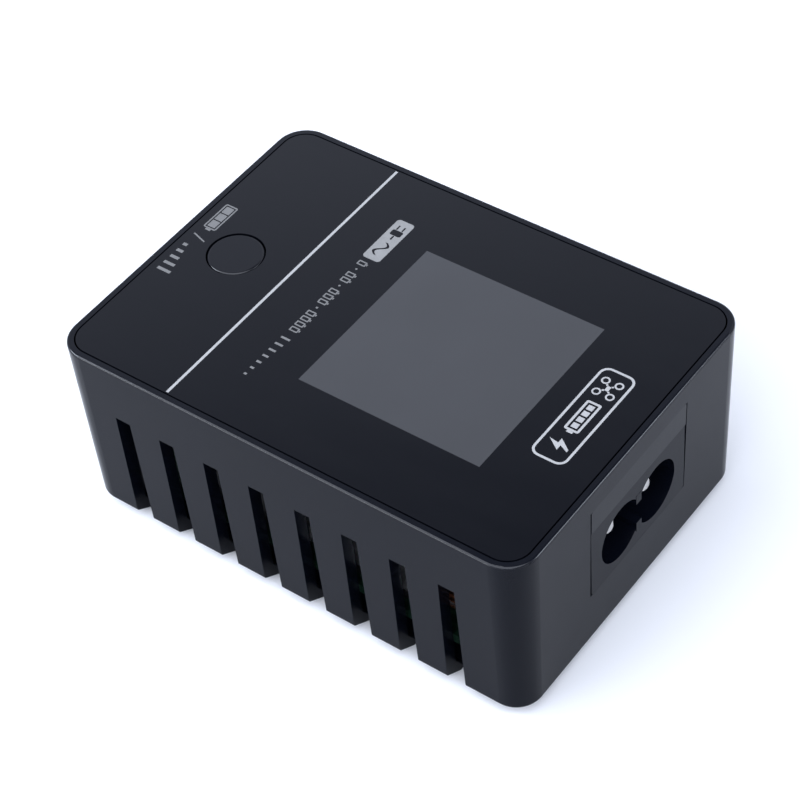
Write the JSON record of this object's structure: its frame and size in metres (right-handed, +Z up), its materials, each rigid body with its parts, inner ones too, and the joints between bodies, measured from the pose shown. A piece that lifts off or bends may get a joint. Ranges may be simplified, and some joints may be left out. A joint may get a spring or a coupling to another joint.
{
  "type": "balance battery charger",
  "caption": "Pocket mains-powered balance charger for model battery packs: vented drafted case, gloss panel with square display and push button, figure-eight inlet, output sockets.",
  "frame": {"origin": "middle of the case's underside, on the surface it stands on", "axes": "+X towards the mains inlet end, -Y the long vented side seen in the picture, +Z up"},
  "size_m": [0.074, 0.0528, 0.0303],
  "materials": {
    "case_plastic": "fine satin moulded texture",
    "panel_gloss": "printed gloss panel",
    "panel_tape": "double-sided tape",
    "display_lens": "tinted clear lens over a dark display",
    "button_gloss": "gloss button",
    "switch_plastic": "moulded",
    "switch_metal": "stamped",
    "plunger_plastic": "moulded",
    "display_glass": "dark display glass",
    "display_frame": "white moulded",
    "foam_black": "soft foam",
    "flex_amber": "flexible circuit",
    "connector_ivory": "natural nylon",
    "inlet_plastic": "satin moulded",
    "nickel_plate": "bright nickel plate",
    "socket_amber": "moulded nylon",
    "gold_plate": "gold plate",
    "tin_plate": "tin plate",
    "board_green": "solder mask",
    "screw_steel": "black zinc",
    "screw_zinc": "bright zinc",
    "sheet_film": "thin film",
    "label_film": "satin film label",
    "ferrite": "ferrite",
    "bobbin_black": "phenolic",
    "coil_tape": "polyester tape",
    "enamel_copper": "enamelled wire",
    "can_sleeve": "shrink sleeve",
    "film_yellow": "moulded box",
    "disc_blue": "dipped",
    "fuse_brown": "moulded box",
    "chip_black": "epoxy moulding",
    "aluminium_plate": "plain extruded",
    "inductor_grey": "pressed powder",
    "header_black": "moulded"
  },
  "bodies": {
    "case": {"lower_case": "case_plastic", "top_cover": "case_plastic", "faceplate": "panel_gloss", "faceplate_tape": "panel_tape", "display_window": "display_lens", "tact_switch_body": "switch_plastic", "tact_switch_cover": "switch_metal", "tact_switch_legs": "switch_metal", "tact_dome": "switch_metal", "lcd_glass": "display_glass", "lcd_backlight_frame": "display_frame", "lcd_holder": "display_frame", "display_gasket": "foam_black", "lcd_flex": "flex_amber", "lcd_connector": "connector_ivory", "balance_header_shell": "connector_ivory", "ac_inlet_housing": "inlet_plastic", "ac_inlet_pins": "nickel_plate", "ac_inlet_terminals": "nickel_plate", "output_socket_body": "socket_amber", "output_socket_contacts": "gold_plate", "balance_header_pins": "tin_plate", "board_header_pins": "tin_plate", "power_board": "board_green", "control_board": "board_green", "case_screws": "screw_steel", "power_board_screws": "screw_zinc", "control_board_screws": "screw_zinc", "insulation_sheet": "sheet_film", "rating_label": "label_film", "transformer_core": "ferrite", "choke_core": "ferrite", "transformer_bobbin": "bobbin_black", "transformer_winding": "coil_tape", "choke_windings": "enamel_copper", "bulk_capacitor": "can_sleeve", "output_capacitors": "can_sleeve", "x_capacitor": "film_yellow", "y_capacitor": "disc_blue", "fuse": "fuse_brown", "bridge_rectifier": "chip_black", "switching_mosfet": "chip_black", "output_rectifier": "chip_black", "optocoupler": "chip_black", "pwm_controller": "chip_black", "charge_mosfets": "chip_black", "microcontroller": "chip_black", "balance_resistors": "chip_black", "current_shunt": "chip_black", "buzzer": "chip_black", "heatsink": "aluminium_plate", "buck_inductor": "inductor_grey", "board_header_strip": "header_black", "board_header_socket": "header_black"},
    "button": {"function_button": "button_gloss", "tact_plunger": "plunger_plastic"}
  },
  "joints": [
    {"name": "button_press", "type": "slide", "parent": "case", "child": "button", "axis": [0, 0, -1], "range_m": [0, 0.0003], "stiffness_N_per_m": 5000, "springref_m": -0.00003, "deforming": ["tact_dome"]}
  ]
}
